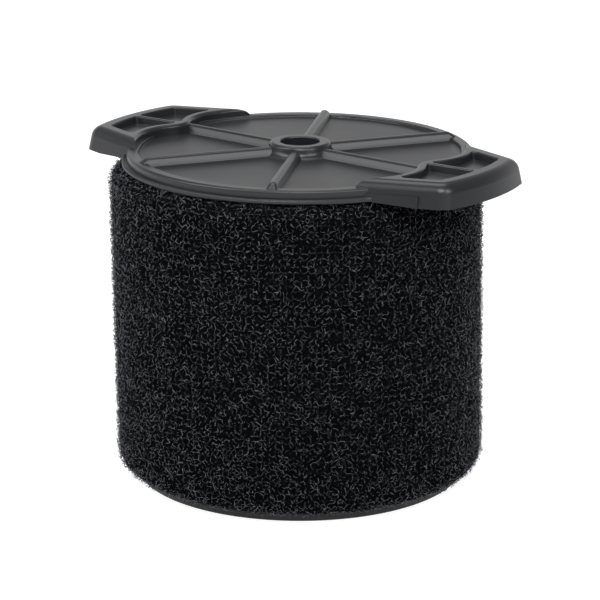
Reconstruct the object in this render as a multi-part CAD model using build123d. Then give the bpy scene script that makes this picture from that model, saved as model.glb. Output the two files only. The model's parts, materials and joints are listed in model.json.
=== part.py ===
from build123d import *
import math
import os

# Wet vacuum foam filter: a foam sleeve between a moulded base ring and a moulded cap with two handles.
# Millimetres, +Z up, z = 0 under the base ring, Z the sleeve's own axis, the handles along X.

# Base ring and the cage that it goes over
opening_radius = 73.0
collar_wall = 2.5
collar_height = 9.0
ring_height = 4.5
ring_rounding = 1.2
fit_clearance = 0.3

# Foam sleeve
foam_wall = 26.7
foam_height = 172.0
foam_rounding = 9.0
ring_inset = 10.5

# Cap disc: flange, rim, recessed floor and hub
flange_inset = 4.6
flange_thickness = 2.6
ledge_width = 2.8
rim_rise = 4.3
rim_width = 6.7
recess_depth = 1.7
edge_rounding = 0.8
rim_rounding = 1.6
recess_rounding = 0.8
spigot_height = 6.0
hub_radius = 16.6
hub_rise = 4.7
hub_spread = 1.6
hub_rounding = 2.0
hub_root = 4.0
stud_hole_radius = 10.8

# Radial ribs, wider at the foot than at the crest
rib_count = 6
rib_width = 8.4
rib_crest = 3.4
rib_rise = 2.8
rib_rounding = 2.2
rib_nose = 4.8
nose_bend = 4.0
rib_turn = -3.8
rib_root = 0.6

# Handles, given at their foot and drawn in towards the top by the draft
handle_overhang = 23.8
handle_half_angle = 17.6
handle_side_angle = 20.0
handle_corner = 10.0
handle_rise = 4.2
handle_skirt = 2.0
handle_draft = 11.0
handle_rounding = 6.5
skirt_reach = 13.0
skirt_wall = 5.0
root_wall = 1.5
plate_thickness = 3.6

# Inner wall of the handles, which stands on the rim and comes in as a tongue to meet the rib.
# The cut that rounds its top edge also skims the handle's top.
wall_inset = 4.4
wall_rounding = 2.0
wall_bend = 28.0
tongue_reach = 11.1
tongue_width = 6.4
tongue_angle = 26.6
tongue_rounding = 13.0
skim = 0.02

# Pockets in the top of each handle
outer_bar = 10.1
side_bar = 9.6
inner_bar = 5.0
web_width = 2.4
pocket_depth = 4.0
pocket_corner = 2.0
pocket_draft = 10.0
pocket_rounding = 0.9

# Plain raised pad along one side of each handle
pad_proud = 0.9
pad_height = 6.2
pad_end = 20.5

# Radii that follow from the fit of the pieces
collar_radius = opening_radius + collar_wall
foam_bore_radius = collar_radius + fit_clearance
foam_radius = foam_bore_radius + foam_wall
ring_radius = foam_radius - ring_inset
flange_radius = foam_radius - flange_inset
rim_radius = flange_radius - ledge_width
recess_radius = rim_radius - rim_width
wall_radius = rim_radius - wall_inset
tongue_tip = wall_radius - tongue_reach
reach = foam_radius + handle_overhang

# Levels that follow from the stack
cap_base = ring_height + foam_height
ledge_level = cap_base + flange_thickness
rim_level = ledge_level + rim_rise
floor_level = rim_level - recess_depth
rib_level = rim_level + rib_rise
handle_level = rim_level + handle_rise
hub_level = rim_level + hub_rise
handle_foot = cap_base - handle_skirt
handle_height = handle_level - handle_foot

# Drawing-in of the handle's walls from foot to top
draft_slope = math.tan(math.radians(handle_draft))
shrink = handle_height * draft_slope

# Outer corner of the handle's foot before it is rounded, and the fall of its sides
corner_x = reach * math.cos(math.radians(handle_half_angle))
corner_y = reach * math.sin(math.radians(handle_half_angle))
side_slope = math.tan(math.radians(handle_side_angle))


# Closed outline of (radius, height, rounding) corners, turned about Z
def turned(corners):
    face = make_face(Polyline(*[(r, z) for r, z, _ in corners], close=True))
    for r, z, rounding in corners:
        if rounding > 0:
            corner = face.vertices().sort_by_distance((r, z, 0))[0]
            face = fillet(corner, rounding)
    return Rot(0, 0, 90) * revolve(Plane.XZ * face, Axis.Z)


def make_base_ring():
    return turned([
        (opening_radius, 0, ring_rounding),
        (ring_radius, 0, ring_rounding),
        (ring_radius, ring_height, ring_rounding),
        (collar_radius, ring_height, 0),
        (collar_radius, ring_height + collar_height, edge_rounding),
        (opening_radius, ring_height + collar_height, edge_rounding),
    ])


def make_foam_sleeve():
    return turned([
        (foam_bore_radius, ring_height, 0),
        (foam_radius, ring_height, foam_rounding),
        (foam_radius, cap_base, foam_rounding),
        (foam_bore_radius, cap_base, 0),
    ])


def make_disc():
    return turned([
        (stud_hole_radius, cap_base, 0),
        (opening_radius, cap_base, 0),
        (opening_radius, cap_base - spigot_height, edge_rounding),
        (collar_radius, cap_base - spigot_height, edge_rounding),
        (collar_radius, cap_base, 0),
        (flange_radius, cap_base, edge_rounding),
        (flange_radius, ledge_level, edge_rounding),
        (rim_radius, ledge_level, 0),
        (rim_radius, rim_level, rim_rounding),
        (recess_radius, rim_level, edge_rounding),
        (recess_radius, floor_level, recess_rounding),
        (hub_radius + hub_spread, floor_level, hub_root),
        (hub_radius, hub_level, hub_rounding),
        (stud_hole_radius, hub_level, edge_rounding),
    ])


# One rib along +X, with sloping sides, a rounded crest and a nose that falls to the rim
def make_rib():
    start = (stud_hole_radius + hub_radius) / 2
    end = rim_radius - rim_rounding
    low = floor_level - rib_root
    section = make_face(Polyline(
        (-rib_width / 2, low),
        (rib_width / 2, low),
        (rib_crest / 2, rib_level),
        (-rib_crest / 2, rib_level),
        close=True,
    ))
    side = make_face(Polyline(
        (start, low),
        (start, rib_level),
        (end - rib_nose, rib_level),
        (end, rim_level - rib_root),
        (end, low),
        close=True,
    ))
    rib = extrude(Plane.YZ.offset(start) * section, end - start)
    rib &= extrude(Plane.XZ * side, rib_width, both=True)
    upper = rib.edges().filter_by(lambda e: e.center().Z > rim_level and e.center().X > start)
    rib = fillet(upper.filter_by(Axis.Y), nose_bend)
    upper = rib.edges().filter_by(lambda e: e.center().Z > rim_level and e.center().X > start)
    return fillet(upper - upper.filter_by(Axis.Y), rib_rounding)


# Straight sides of a handle at its foot, let out by a margin, from inside the rim to past the tip
def side_plan(margin):
    near_x = wall_radius * 2 / 3
    far_x = reach + margin + handle_corner
    spread = corner_y + corner_x * side_slope + margin / math.cos(math.radians(handle_side_angle))
    near_y = spread - near_x * side_slope
    far_y = spread - far_x * side_slope
    return make_face(Polyline((near_x, -near_y), (far_x, -far_y), (far_x, far_y), (near_x, near_y), close=True))


# Drafted block of a handle, let out by a margin, with a round tip and round corners
def make_block(margin, height):
    tip = reach + margin
    round_tip = Cone(tip, tip - height * draft_slope, height, align=(Align.CENTER, Align.CENTER, Align.MIN))
    block = extrude(side_plan(margin), height, taper=handle_draft) & round_tip
    upright = block.edges().filter_by(lambda e: 0 < e.center().Z < height and e.center().X > flange_radius)
    return Pos(0, 0, handle_foot) * fillet(upright, handle_corner + margin)


# Plan of the clear space inside the handle's inner wall: a disc, less the tongue that meets the rib
def bay_plan():
    slope = math.tan(math.radians(tongue_angle))
    root_x = tongue_tip + reach * slope
    root_y = tongue_width / 2 + reach
    half_tongue = [(tongue_tip, tongue_width / 2), (root_x, root_y)]
    mirrored = [(x, -y) for x, y in reversed(half_tongue)]
    bay = (Circle(wall_radius) - make_face(Polyline(*half_tongue, *mirrored, close=True))).face()
    tip = bay.vertices().filter_by(lambda v: abs(v.X - tongue_tip) < skim)
    bay = fillet(tip, tongue_rounding)
    bends = bay.vertices().filter_by(lambda v: v.X > 0 and v.center().length > wall_radius - skim)
    return fillet(bends, wall_bend)


# Opening of the two pockets in plan: what the bars leave of the handle's top, split by the web.
# Drawing the plan in and letting it out again rounds its corners.
def pocket_plan():
    plan = side_plan(-shrink - side_bar) & Circle(reach - shrink - outer_bar)
    plan -= offset(bay_plan(), inner_bar)
    plan -= Pos(reach / 2, 0) * Rectangle(reach, web_width)
    return offset(offset(plan, -pocket_corner), pocket_corner)


# What is cut away above the handle and inside its inner wall, flared to round the wall's top edge
def make_clearance():
    low = floor_level - rib_root
    bay = extrude(Pos(0, 0, low) * bay_plan(), handle_height)
    above = Cylinder(reach, handle_height, align=(Align.CENTER, Align.CENTER, Align.MIN))
    clearance = bay + Pos(0, 0, handle_level) * above
    flare = clearance.edges().filter_by_position(Axis.Z, handle_level - skim, handle_level + skim)
    return fillet(flare.filter_by(lambda e: e.bounding_box().max.Y < rim_radius), wall_rounding)


# One handle along +X, hollow behind its skirt, which rises from its tip to the flange
def make_handle():
    body = make_block(0, handle_height + skim)
    top_edges = body.faces().sort_by(Axis.Z)[-1].edges()
    body = fillet(top_edges - top_edges.filter_by(Axis.Y), handle_rounding)
    body -= make_clearance()
    pocket_top = Pos(0, 0, handle_level) * pocket_plan()
    body -= extrude(pocket_top, pocket_depth, dir=(0, 0, -1), taper=pocket_draft)
    pocket_edges = body.faces().filter_by(Axis.Z).sort_by(Axis.Z)[-1].inner_wires().edges()
    body = fillet(pocket_edges, pocket_rounding)
    pad_box = Box(flange_radius, reach, pad_height, align=(Align.MIN, Align.MAX, Align.MIN))
    body += make_block(pad_proud, pad_height) & (Pos(reach - pad_end - flange_radius, 0, handle_foot) * pad_box)
    hollow_height = handle_height - pocket_depth - plate_thickness
    root = Pos(0, 0, cap_base) * Cylinder(flange_radius + root_wall, handle_height)
    body -= make_block(-skirt_wall, hollow_height) - root
    low_end = foam_radius + skirt_reach
    skirt_rise = Cone(low_end, flange_radius, handle_skirt, align=(Align.CENTER, Align.CENTER, Align.MIN))
    return body - Pos(0, 0, handle_foot) * skirt_rise


# A rib that meets a handle stops inside the handle's inner wall
def make_short_rib():
    plan = offset(bay_plan(), inner_bar / 2)
    return Rot(0, 0, rib_turn) * make_rib() & extrude(Pos(0, 0, cap_base) * plan, handle_height)


base_ring = make_base_ring()
foam_sleeve = make_foam_sleeve()
disc = make_disc()
rib = make_rib()
short_rib = make_short_rib()
handle = make_handle()

free_ribs = [index for index in range(rib_count) if index % (rib_count / 2)]
ribs = [Rot(0, 0, rib_turn + index * 360 / rib_count) * rib for index in free_ribs]
ribs += [Rot(0, 0, turn) * short_rib for turn in (0, 180)]
handles = [Rot(0, 0, turn) * handle for turn in (0, 180)]
handle_cap = disc + ribs + handles

os.makedirs("parts", exist_ok=True)
export_step(base_ring, "parts/base_ring.step")
export_step(foam_sleeve, "parts/foam_sleeve.step")
export_step(handle_cap, "parts/handle_cap.step")
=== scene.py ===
import bpy
import bmesh
import json
import math
import numpy as np
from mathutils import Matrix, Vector, noise


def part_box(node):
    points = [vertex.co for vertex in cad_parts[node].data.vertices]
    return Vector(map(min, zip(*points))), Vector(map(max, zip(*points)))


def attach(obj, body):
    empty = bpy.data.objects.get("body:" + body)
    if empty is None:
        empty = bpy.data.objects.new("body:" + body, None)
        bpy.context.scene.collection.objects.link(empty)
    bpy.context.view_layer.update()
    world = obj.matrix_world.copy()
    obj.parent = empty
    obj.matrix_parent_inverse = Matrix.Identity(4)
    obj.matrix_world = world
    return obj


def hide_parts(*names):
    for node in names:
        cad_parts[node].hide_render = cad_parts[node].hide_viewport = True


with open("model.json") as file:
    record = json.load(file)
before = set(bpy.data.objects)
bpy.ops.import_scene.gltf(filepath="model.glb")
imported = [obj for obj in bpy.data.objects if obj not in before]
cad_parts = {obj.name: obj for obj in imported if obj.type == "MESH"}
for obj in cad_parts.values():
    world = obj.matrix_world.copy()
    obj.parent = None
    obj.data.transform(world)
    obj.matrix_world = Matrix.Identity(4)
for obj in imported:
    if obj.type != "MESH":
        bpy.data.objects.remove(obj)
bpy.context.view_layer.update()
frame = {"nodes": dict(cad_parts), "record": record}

# lengths are metres, in the frame of the solids
mm = 0.001
noise.seed_set(7)              # without it the foam's slow drift would follow the clock


# small helpers

def addNode(tree, kind, place, **values):
    node = tree.nodes.new(kind)
    node.location = place
    for name, value in values.items():
        setattr(node, name, value)
    return node


def newMaterial(name, baseColour, roughness, gloss=0.5):
    material = bpy.data.materials.new(name)
    material.use_nodes = True
    shader = material.node_tree.nodes["Principled BSDF"]
    shader.inputs["Base Color"].default_value = (*baseColour, 1)
    shader.inputs["Roughness"].default_value = roughness
    shader.inputs["Specular IOR Level"].default_value = gloss
    return material, material.node_tree, shader


def highest(tree, place, *sockets):
    # the greatest of several values
    top = sockets[0]
    for step, socket in enumerate(sockets[1:]):
        node = addNode(tree, "ShaderNodeMath", (place[0] + 180 * step, place[1]), operation="MAXIMUM")
        tree.links.new(top, node.inputs[0])
        tree.links.new(socket, node.inputs[1])
        top = node.outputs[0]
    return top


def draw(place):
    # an even draw from 0 to 1 that depends only on the place
    return abs(noise.cell(place))


def dress(piece, slotName, *replaced):
    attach(piece, "root")
    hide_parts(*replaced)


# stage: camera, floor, world and lamps

stageLook = {
    "lens": 168,
    "cameraTurn": 35.5,        # degrees round the part, from straight in front
    "cameraReach": 1.5,
    "cameraHeight": 0.537,
    "cameraDip": 16.35,        # degrees below level
    "floorSide": 12.0,
    "floorColour": (0.32, 0.32, 0.32),
    "floorGlow": 0.88,
    "roomLight": 0.24,
    "backdropFull": 0.18,      # sine of the height up to which the backdrop is white
    "backdropTop": 0.55,
    "backdropEdge": 0.1,
    "lampColour": (1.0, 1.0, 1.0),
    "lampAim": (0, 0, 0.12),
}

# place, width and length, and watts of each lamp
lamps = {
    "keySoftbox": ((-0.7, -1.3, 1.6), (1.0, 1.0), 16),
    "frontSoftbox": ((0.85, -1.15, 1.55), (0.9, 0.8), 20),
    "rightSoftbox": ((1.67, -0.29, 1.24), (0.9, 0.8), 13),
    "leftSoftbox": ((-1.25, -1.2, 1.0), (0.9, 0.8), 7),
    "topSoftbox": ((-0.3, 0.4, 1.9), (1.0, 1.0), 9),
}


def makeCamera():
    turn = math.radians(stageLook["cameraTurn"])
    data = bpy.data.cameras.new("photoCamera")
    data.lens = stageLook["lens"]
    data.sensor_width = 36
    data.clip_end = 50
    camera = bpy.data.objects.new("photoCamera", data)
    reach = stageLook["cameraReach"]
    camera.location = (reach * math.sin(turn), -reach * math.cos(turn), stageLook["cameraHeight"])
    camera.rotation_euler = (math.radians(90 - stageLook["cameraDip"]), 0, turn)
    bpy.context.scene.collection.objects.link(camera)
    bpy.context.scene.camera = camera


def makeFloor():
    bm = bmesh.new()
    bmesh.ops.create_grid(bm, x_segments=4, y_segments=4, size=stageLook["floorSide"] / 2)
    mesh = bpy.data.meshes.new("floor")
    bm.to_mesh(mesh)
    bm.free()
    floor = bpy.data.objects.new("floor", mesh)
    bpy.context.scene.collection.objects.link(floor)
    material, tree, shader = newMaterial("floorPaper", stageLook["floorColour"], 0.9)
    output = tree.nodes["Material Output"]
    glow = addNode(tree, "ShaderNodeEmission", (-200, -200))
    glow.inputs["Color"].default_value = (1, 1, 1, 1)
    path = addNode(tree, "ShaderNodeLightPath", (-1000, -200))
    seen = highest(tree, (-800, -200), path.outputs["Is Camera Ray"], path.outputs["Is Glossy Ray"],
                   path.outputs["Is Transmission Ray"])
    strength = addNode(tree, "ShaderNodeMath", (-400, -200), operation="MULTIPLY")
    strength.inputs[1].default_value = stageLook["floorGlow"]
    tree.links.new(seen, strength.inputs[0])
    tree.links.new(strength.outputs[0], glow.inputs["Strength"])
    both = addNode(tree, "ShaderNodeAddShader", (100, 0))
    tree.links.new(shader.outputs[0], both.inputs[0])
    tree.links.new(glow.outputs[0], both.inputs[1])
    tree.links.new(both.outputs[0], output.inputs["Surface"])
    mesh.materials.append(material)


def makeWorld():
    # white wherever the camera looks
    # for shine and light, a white backdrop low down behind the part, in a dimmer room
    world = bpy.data.worlds.new("studio")
    bpy.context.scene.world = world
    world.use_nodes = True
    tree = world.node_tree
    links = tree.links
    background = tree.nodes["Background"]
    background.inputs["Color"].default_value = (1, 1, 1, 1)
    turn = math.radians(stageLook["cameraTurn"])
    coords = addNode(tree, "ShaderNodeTexCoord", (-1600, 0))
    height = addNode(tree, "ShaderNodeSeparateXYZ", (-1400, 150))
    behind = addNode(tree, "ShaderNodeVectorMath", (-1400, -50), operation="DOT_PRODUCT")
    behind.inputs[1].default_value = (-math.sin(turn), math.cos(turn), 0)
    low = addNode(tree, "ShaderNodeMapRange", (-1200, 150), interpolation_type="SMOOTHSTEP")
    low.inputs["From Min"].default_value = stageLook["backdropFull"]
    low.inputs["From Max"].default_value = stageLook["backdropTop"]
    low.inputs["To Min"].default_value = 1
    low.inputs["To Max"].default_value = 0
    far = addNode(tree, "ShaderNodeMapRange", (-1200, -150), interpolation_type="SMOOTHSTEP")
    far.inputs["From Min"].default_value = stageLook["backdropEdge"]
    backdrop = addNode(tree, "ShaderNodeMath", (-1000, 0), operation="MULTIPLY")
    room = addNode(tree, "ShaderNodeMapRange", (-800, 0))
    room.inputs["To Min"].default_value = stageLook["roomLight"]
    path = addNode(tree, "ShaderNodeLightPath", (-800, -300))
    strength = highest(tree, (-500, 0), room.outputs["Result"], path.outputs["Is Camera Ray"],
                       path.outputs["Is Transmission Ray"])
    links.new(coords.outputs["Generated"], height.inputs[0])
    links.new(coords.outputs["Generated"], behind.inputs[0])
    links.new(height.outputs["Z"], low.inputs["Value"])
    links.new(behind.outputs["Value"], far.inputs["Value"])
    links.new(low.outputs["Result"], backdrop.inputs[0])
    links.new(far.outputs["Result"], backdrop.inputs[1])
    links.new(backdrop.outputs[0], room.inputs["Value"])
    links.new(strength, background.inputs["Strength"])


def makeLamp(name, place, side, watts):
    data = bpy.data.lights.new(name, "AREA")
    data.shape = "RECTANGLE"
    data.size, data.size_y = side
    data.energy = watts
    data.color = stageLook["lampColour"]
    lamp = bpy.data.objects.new(name, data)
    lamp.location = place
    lamp.rotation_euler = (Vector(stageLook["lampAim"]) - Vector(place)).to_track_quat("-Z", "Y").to_euler()
    bpy.context.scene.collection.objects.link(lamp)


def makeStage():
    makeCamera()
    makeFloor()
    makeWorld()
    for name, (place, side, watts) in lamps.items():
        makeLamp(name, place, side, watts)
    bpy.context.scene.view_settings.view_transform = "Standard"
    print("stage ready")


makeStage()


# moulded cap and base ring: satin dark plastic with a fine moulded grain

mouldLook = {
    "capColour": (0.0130, 0.0138, 0.0160),
    "capRoughness": 0.38,
    "capGloss": 0.5,
    "raisedRoughness": 0.32,   # rim, hub, ribs and handles are smoother than the cap's floor
    "ringColour": (0.012, 0.012, 0.0135),
    "ringRoughness": 0.5,
    "ringGloss": 0.4,
    "hubRise": 4.7 * mm,       # hub's top above the rim
    "raisedStart": 0.9 * mm,   # below the rim, where the smoother finish sets in
    "raisedFull": 0.2 * mm,
    "cloudScale": 26,
    "cloudTones": (0.82, 1.22),
    "cloudSatin": (-0.05, 0.07),
    "grainSize": 0.9 * mm,
    "grainDepth": 0.035 * mm,
    "grainStrength": 0.5,
}

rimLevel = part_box("handle_cap")[1].z - mouldLook["hubRise"]


def mouldedPlastic(name, colour, roughness, gloss):
    material, tree, shader = newMaterial(name, colour, roughness, gloss)
    darker, lighter = mouldLook["cloudTones"]
    smoother, duller = mouldLook["cloudSatin"]
    coords = addNode(tree, "ShaderNodeTexCoord", (-1200, 0))
    cloud = addNode(tree, "ShaderNodeTexNoise", (-900, 200))
    cloud.inputs["Scale"].default_value = mouldLook["cloudScale"]
    cloud.inputs["Detail"].default_value = 4
    tone = addNode(tree, "ShaderNodeMix", (-500, 300), data_type="RGBA")
    tone.inputs["A"].default_value = (*[c * darker for c in colour], 1)
    tone.inputs["B"].default_value = (*[c * lighter for c in colour], 1)
    satin = addNode(tree, "ShaderNodeMapRange", (-500, 0))
    satin.inputs["To Min"].default_value = roughness + smoother
    satin.inputs["To Max"].default_value = roughness + duller
    height = addNode(tree, "ShaderNodeSeparateXYZ", (-900, 0))
    raised = addNode(tree, "ShaderNodeMapRange", (-700, -100))
    raised.inputs["From Min"].default_value = rimLevel - mouldLook["raisedStart"]
    raised.inputs["From Max"].default_value = rimLevel - mouldLook["raisedFull"]
    finish = addNode(tree, "ShaderNodeMix", (-250, 0))
    finish.inputs["B"].default_value = mouldLook["raisedRoughness"]
    grain = addNode(tree, "ShaderNodeTexNoise", (-900, -250))
    grain.inputs["Scale"].default_value = 1 / mouldLook["grainSize"]
    grain.inputs["Detail"].default_value = 2
    bump = addNode(tree, "ShaderNodeBump", (-300, -250))
    bump.inputs["Strength"].default_value = mouldLook["grainStrength"]
    bump.inputs["Distance"].default_value = mouldLook["grainDepth"]
    links = tree.links
    links.new(coords.outputs["Object"], cloud.inputs["Vector"])
    links.new(coords.outputs["Object"], grain.inputs["Vector"])
    links.new(cloud.outputs["Fac"], tone.inputs["Factor"])
    links.new(tone.outputs["Result"], shader.inputs["Base Color"])
    links.new(cloud.outputs["Fac"], satin.inputs["Value"])
    links.new(coords.outputs["Object"], height.inputs[0])
    links.new(height.outputs["Z"], raised.inputs["Value"])
    links.new(raised.outputs["Result"], finish.inputs["Factor"])
    links.new(satin.outputs["Result"], finish.inputs["A"])
    links.new(finish.outputs["Result"], shader.inputs["Roughness"])
    links.new(grain.outputs["Fac"], bump.inputs["Height"])
    links.new(bump.outputs["Normal"], shader.inputs["Normal"])
    return material


def paintNode(nodeName, material):
    node = frame["nodes"][nodeName]
    node.data.materials.clear()
    node.data.materials.append(material)


for nodeName, part in (("handle_cap", "cap"), ("base_ring", "ring")):
    paintNode(nodeName, mouldedPlastic(part + "Plastic", mouldLook[part + "Colour"],
                                       mouldLook[part + "Roughness"], mouldLook[part + "Gloss"]))
print("moulded pieces painted")


# foam sleeve: a network of open cells over a dark core sheet of painted shade, standing for the foam's shaded
# depth

foamLook = {
    "cornerRound": 9.0 * mm,
    "lean": 2.4 * mm,          # how far the top has moved to the camera's left
    "wander": 0.34,            # slow drift of the struts, in cells
    "shake": 0.16,             # quick jitter of each strut's ends, in cells
    "driftLength": 1.7,        # how slow that drift is, in cells
    "strutGirth": 0.16 * mm,
    "thinnest": 0.3,           # part of that girth that the thinnest struts keep
    "trim": 0.5,               # struts that start this far outside are left off, in cells
    "inset": 0.5 * mm,         # how deep the cut ends lie in the skin
    "looseShare": 0.4,         # part of the cut ends that stand proud instead
    "looseEnd": 1.3 * mm,
    "missing": 0.52,           # part of the struts that is left out
    "coreDepth": 1.0 * mm,     # sheet of painted shade for the foam's shaded depth, under the skin
    "coreSwell": 0.6 * mm,
    "coreLump": 3.4 * mm,
    "corePitch": 3.0 * mm,
    "darkStrand": (0.0066, 0.0072, 0.0104),
    # pale end of the strand tone: painted glint, lighter than the black strands really are
    "paleStrandPaintedGlint": (0.150, 0.160, 0.198),
    "strandRoughness": 0.26,
    "strandGloss": 0.7,
    # near-black core sheet: painted shade deep inside the foam
    "shadeCoreColour": (0.0022, 0.0023, 0.0027),
    "coreGloss": 0.02,
    "shadeCoreTones": (0.5, 1.6),
    "ringCollar": 2.8 * mm,    # wall and clearance between the cage opening and the bore
}

# grid on which each draw changes, in cells
drawGrid = {
    "shake": 0.11,
    "end": 0.13,
    "missing": 0.19,
    "girth": 0.23,
    "tone": 0.29,
}

foamLow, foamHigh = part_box("foam_sleeve")
foamRadius = (foamHigh.x - foamLow.x) / 2
foamMiddle = (foamLow.z + foamHigh.z) / 2
capRadius = (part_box("handle_cap")[1].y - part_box("handle_cap")[0].y) / 2
ringRadius = (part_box("base_ring")[1].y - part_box("base_ring")[0].y) / 2
boreMount = next(m for m in frame["record"]["mounts"] if m["name"] == "cage_opening")
boreRadius = boreMount["dims"]["r_mm"] * mm + foamLook["ringCollar"]


def depthInFoam(radius, z):
    # distance under the sleeve's outer skin, whose two outer corners are round
    edge = foamLook["cornerRound"]
    across = foamRadius - edge - radius
    up = min(z - foamLow.z - edge, foamHigh.z - edge - z)
    if across < 0 and up < 0:
        return edge - math.hypot(across, up)
    return edge + min(across, up)


def outOfFoam(radius, z):
    # the way out through that skin: how much of it is away from the axis, and how much is up
    edge = foamLook["cornerRound"]
    across = radius - foamRadius + edge
    up = max(foamLow.z + edge - z, z - foamHigh.z + edge)
    end = 1 if z > foamMiddle else -1
    if across > 0 and up > 0:
        return across / math.hypot(across, up), end * up / math.hypot(across, up)
    return (1, 0) if across > up else (0, end)


def depthInBore(radius, z):
    # nothing is left past the sleeve's two ends
    return radius - boreRadius if foamLow.z < z < foamHigh.z else -boreRadius


def outOfBore(radius, z):
    return -1, 0


# the two open-celled skins
wallSkin = {
    "side": 3.6 * mm,          # height of one cell
    "deep": 2.4 * mm,          # how deep the open cells are modelled
    "radius": foamRadius - 1.8 * mm,
    "depthAt": depthInFoam,
    "wayOut": outOfFoam,
    "endsCovered": True,
}
boreSkin = {
    "side": 8.0 * mm,
    "deep": 2.6 * mm,
    "radius": boreRadius + 4.0 * mm,
    "depthAt": depthInBore,
    "wayOut": outOfBore,
    "endsCovered": False,
}


def covered(radius, z, margin):
    # the flat ends of the sleeve, under the cap and on the ring
    return radius < (capRadius if z > foamMiddle else ringRadius) - margin


def leaned(place):
    # the soft sleeve stands a little askew
    turn = math.radians(stageLook["cameraTurn"])
    shift = foamLook["lean"] * (place.z - foamLow.z) / (foamHigh.z - foamLow.z)
    return place - Vector((math.cos(turn), math.sin(turn), 0)) * shift


def strandMaterial():
    # each strut end carries its own tone, from dark to pale at random; the pale end is a painted glint, much
    # lighter than the black strand's own colour
    material, tree, shader = newMaterial("foamStrand", foamLook["paleStrandPaintedGlint"],
                                         foamLook["strandRoughness"], foamLook["strandGloss"])
    tone = addNode(tree, "ShaderNodeAttribute", (-600, 100), attribute_name="tone")
    colour = addNode(tree, "ShaderNodeMix", (-300, 100), data_type="RGBA")
    colour.inputs["A"].default_value = (*foamLook["darkStrand"], 1)
    colour.inputs["B"].default_value = (*foamLook["paleStrandPaintedGlint"], 1)
    tree.links.new(tone.outputs["Fac"], colour.inputs["Factor"])
    tree.links.new(colour.outputs["Result"], shader.inputs["Base Color"])
    return material


def shadeCoreMaterial():
    # near-black sheet of painted shade for the depth of the foam, its tone varied in a pore pattern
    colour = foamLook["shadeCoreColour"]
    darker, lighter = foamLook["shadeCoreTones"]
    material, tree, shader = newMaterial("foamPaintedShade", colour, 0.9, foamLook["coreGloss"])
    coords = addNode(tree, "ShaderNodeTexCoord", (-900, 100))
    pores = addNode(tree, "ShaderNodeTexVoronoi", (-600, 100))
    pores.inputs["Scale"].default_value = 1 / wallSkin["side"]
    tone = addNode(tree, "ShaderNodeMix", (-300, 100), data_type="RGBA")
    tone.inputs["A"].default_value = (*[c * darker for c in colour], 1)
    tone.inputs["B"].default_value = (*[c * lighter for c in colour], 1)
    tree.links.new(coords.outputs["Object"], pores.inputs["Vector"])
    tree.links.new(pores.outputs["Distance"], tone.inputs["Factor"])
    tree.links.new(tone.outputs["Result"], shader.inputs["Base Color"])
    return material


def strutTree(material):
    tree = bpy.data.node_groups.new("strutsFromEdges", "GeometryNodeTree")
    tree.interface.new_socket("Geometry", in_out="INPUT", socket_type="NodeSocketGeometry")
    tree.interface.new_socket("Geometry", in_out="OUTPUT", socket_type="NodeSocketGeometry")
    start = addNode(tree, "NodeGroupInput", (0, 0))
    lines = addNode(tree, "GeometryNodeMeshToCurve", (200, 0))
    section = addNode(tree, "GeometryNodeCurvePrimitiveCircle", (200, -200))
    section.inputs["Resolution"].default_value = 3
    section.inputs["Radius"].default_value = 1
    girth = addNode(tree, "GeometryNodeInputNamedAttribute", (200, -400))
    girth.inputs["Name"].default_value = "girth"
    struts = addNode(tree, "GeometryNodeCurveToMesh", (500, 0))
    struts.inputs["Fill Caps"].default_value = True
    paint = addNode(tree, "GeometryNodeSetMaterial", (700, 0))
    paint.inputs["Material"].default_value = material
    end = addNode(tree, "NodeGroupOutput", (900, 0))
    links = tree.links
    links.new(start.outputs[0], lines.inputs["Mesh"])
    links.new(lines.outputs[0], struts.inputs["Curve"])
    links.new(section.outputs[0], struts.inputs["Profile Curve"])
    links.new(girth.outputs["Attribute"], struts.inputs["Scale"])
    links.new(struts.outputs[0], paint.inputs["Geometry"])
    links.new(paint.outputs[0], end.inputs[0])
    return tree


def addCell(bm, side, place):
    # an octahedron with its corners cut off packs space the way foam bubbles do
    made = bmesh.ops.create_uvsphere(bm, u_segments=4, v_segments=2, radius=0.75 * side)["verts"]
    made = bmesh.ops.bevel(bm, geom=made, offset=100 / 3, offset_type="PERCENT", affect="VERTICES",
                           segments=1, profile=0.5, material=-1)["verts"]
    bmesh.ops.translate(bm, verts=made, vec=place)


def cellNetwork(skin, firstTurn, turns):
    # one stack of cells standing on the X axis, then copied round the sleeve's axis
    side = skin["side"]
    bm = bmesh.new()
    columns = 4 * round(math.pi * skin["radius"] / (2 * side))     # a whole number in each quarter
    wrapRadius = columns * side / (2 * math.pi)
    rows = math.ceil((foamHigh.z - foamLow.z) / side) + 1
    for layer in range(-6, 7):
        for row in range(-1, rows + 1):
            for half in (0, 0.5):
                x = skin["radius"] + (layer + half) * side
                z = foamLow.z + (row + half) * side
                hidden = skin["endsCovered"] and covered(x, z, 2 * side)
                if -0.5 * side < skin["depthAt"](x, z) < skin["deep"] + 0.3 * side and not hidden:
                    addCell(bm, side, (x, half * side, z))
    bmesh.ops.remove_doubles(bm, verts=bm.verts[:], dist=0.1 * side)
    bmesh.ops.delete(bm, geom=bm.faces[:], context="FACES_ONLY")
    for vert in bm.verts:
        angle = vert.co.y / wrapRadius + firstTurn
        vert.co = Vector((vert.co.x * math.cos(angle), vert.co.x * math.sin(angle), vert.co.z))
    step = 2 * math.pi / columns
    copies = round(columns * turns)
    bmesh.ops.spin(bm, geom=bm.verts[:] + bm.edges[:], cent=(0, 0, 0), axis=(0, 0, 1),
                   angle=step * (copies - 1), steps=copies - 1, use_duplicate=True)
    bmesh.ops.remove_doubles(bm, verts=bm.verts[:], dist=0.1 * side)
    return bm


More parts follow.
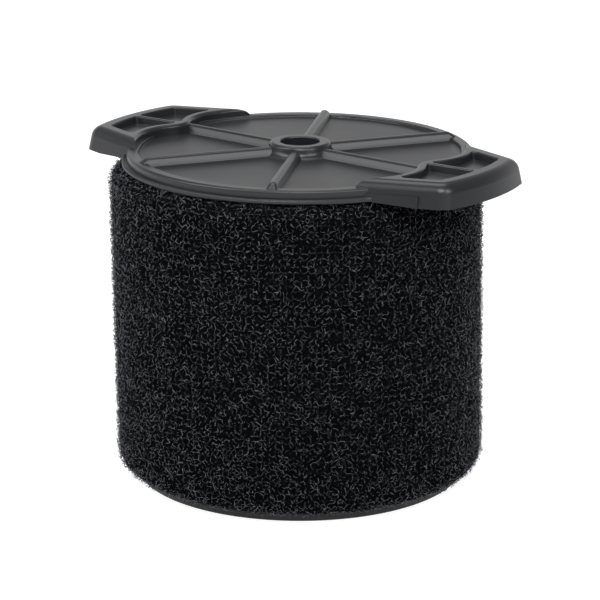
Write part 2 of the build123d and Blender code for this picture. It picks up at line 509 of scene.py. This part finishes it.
def roughen(bm, skin):
    # drift and jitter by place, then the cut at the skin
    side = skin["side"]
    gone = []
    for vert in bm.verts:
        slow = noise.noise_vector(vert.co / (foamLook["driftLength"] * side))
        quick = noise.cell_vector(vert.co / (drawGrid["shake"] * side)) - Vector((0.5, 0.5, 0.5))
        vert.co += slow * foamLook["wander"] * side + quick * 2 * foamLook["shake"] * side
        radius = math.hypot(vert.co.x, vert.co.y)
        under = skin["depthAt"](radius, vert.co.z)
        if under > skin["deep"] or under < -foamLook["trim"] * side:
            gone.append(vert)
        elif under < 0:
            lot = draw(vert.co / (drawGrid["end"] * side))
            aim = foamLook["inset"] * lot
            if lot < foamLook["looseShare"]:
                aim = -foamLook["looseEnd"] * lot / foamLook["looseShare"]
            away, up = skin["wayOut"](radius, vert.co.z)
            vert.co += Vector((vert.co.x / radius * away, vert.co.y / radius * away, up)) * (under - aim)
    bmesh.ops.delete(bm, geom=gone, context="VERTS")
    grid = drawGrid["missing"] * side
    lots = {e: draw((e.verts[0].co + e.verts[1].co) / grid) for e in bm.edges}
    missing = [e for e, lot in lots.items() if lot < foamLook["missing"]]
    bmesh.ops.delete(bm, geom=missing, context="EDGES")
    loose = [v for v in bm.verts if not v.link_edges]
    bmesh.ops.delete(bm, geom=loose, context="VERTS")


def mapByTone(mesh):
    # the tone is also the map's first coordinate, so that equal tones share their place on it
    tones = np.empty(len(mesh.vertices), dtype=np.float32)
    mesh.attributes["tone"].data.foreach_get("value", tones)
    corners = np.empty(len(mesh.loops), dtype=np.int32)
    mesh.loops.foreach_get("vertex_index", corners)
    places = np.stack((0.01 + 0.98 * tones[corners], 0.1 + 0.4 * (corners % 3)), axis=1)
    layer = mesh.uv_layers.new(name="OFBake")
    layer.data.foreach_set("uv", places.astype(np.float32).ravel())


def cellPiece(name, tree, skin, firstTurn, turns):
    side = skin["side"]
    bm = cellNetwork(skin, firstTurn, turns)
    roughen(bm, skin)
    girth = bm.verts.layers.float.new("girth")
    tone = bm.verts.layers.float.new("tone")
    for vert in bm.verts:
        thickness = foamLook["thinnest"] + draw(vert.co / (drawGrid["girth"] * side))
        vert[girth] = foamLook["strutGirth"] * thickness
        vert[tone] = draw(vert.co / (drawGrid["tone"] * side)) ** 2
    for vert in bm.verts:
        vert.co = leaned(vert.co)
    mesh = bpy.data.meshes.new(name + "Lines")
    bm.to_mesh(mesh)
    bm.free()
    lines = bpy.data.objects.new(name + "Lines", mesh)
    bpy.context.scene.collection.objects.link(lines)
    lines.modifiers.new("struts", "NODES").node_group = tree
    bpy.context.view_layer.update()
    finished = bpy.data.meshes.new_from_object(lines.evaluated_get(bpy.context.evaluated_depsgraph_get()))
    finished.name = name
    bpy.data.objects.remove(lines)
    piece = bpy.data.objects.new(name, finished)
    bpy.context.scene.collection.objects.link(piece)
    mapByTone(finished)
    finished.calc_loop_triangles()
    print(name, "struts", len(mesh.edges), "triangles", len(finished.loop_triangles))
    dress(piece, "open_cell_foam", "foam_sleeve")
    return piece


def makeShadeCore(material):
    # a closed sheet of painted shade, standing for the foam's shaded depth under the open cells
    skin = foamLook["coreDepth"]
    edge = foamLook["cornerRound"] - skin
    low = foamLow.z + skin
    high = foamHigh.z - skin
    outer = foamRadius - skin
    inner = boreRadius + boreSkin["deep"]
    pitch = foamLook["corePitch"]
    bm = bmesh.new()
    verts = [bm.verts.new((r, 0, z)) for r, z in ((inner, low), (outer, low), (outer, high), (inner, high))]
    bm.faces.new(verts)
    bmesh.ops.bevel(bm, geom=verts[1:3], offset=edge, affect="VERTICES", segments=6, profile=0.5, material=-1)
    bmesh.ops.delete(bm, geom=bm.faces[:], context="FACES_ONLY")
    for edge in bm.edges[:]:
        cuts = round(edge.calc_length() / pitch) - 1
        if cuts > 0:
            bmesh.ops.subdivide_edges(bm, edges=[edge], cuts=cuts)
    bmesh.ops.spin(bm, geom=bm.verts[:] + bm.edges[:], cent=(0, 0, 0), axis=(0, 0, 1),
                   angle=2 * math.pi, steps=round(2 * math.pi * outer / pitch), use_merge=True)
    bmesh.ops.remove_doubles(bm, verts=bm.verts[:], dist=0.01 * mm)
    bmesh.ops.recalc_face_normals(bm, faces=bm.faces[:])
    bm.normal_update()
    swell = {v: v.normal * noise.noise(v.co / foamLook["coreLump"]) * foamLook["coreSwell"] for v in bm.verts}
    for vert, shift in swell.items():
        vert.co = leaned(vert.co + shift)
    mesh = bpy.data.meshes.new("foamShadeCore")
    bm.to_mesh(mesh)
    bm.free()
    core = bpy.data.objects.new("foamShadeCore", mesh)
    bpy.context.scene.collection.objects.link(core)
    mesh.materials.append(material)
    mesh.calc_loop_triangles()
    print("foamShadeCore triangles", len(mesh.loop_triangles))
    dress(core, "open_cell_foam", "foam_sleeve")


def makeFoam():
    strand = strandMaterial()
    tree = strutTree(strand)
    quarters = 4
    for quarter in range(quarters):
        turn = 2 * math.pi * quarter / quarters
        cellPiece(f"foamWall{quarter + 1}", tree, wallSkin, turn, 1 / quarters)
    cellPiece("foamBore", tree, boreSkin, 0, 1)
    makeShadeCore(shadeCoreMaterial())
    print("foam ready")


makeFoam()
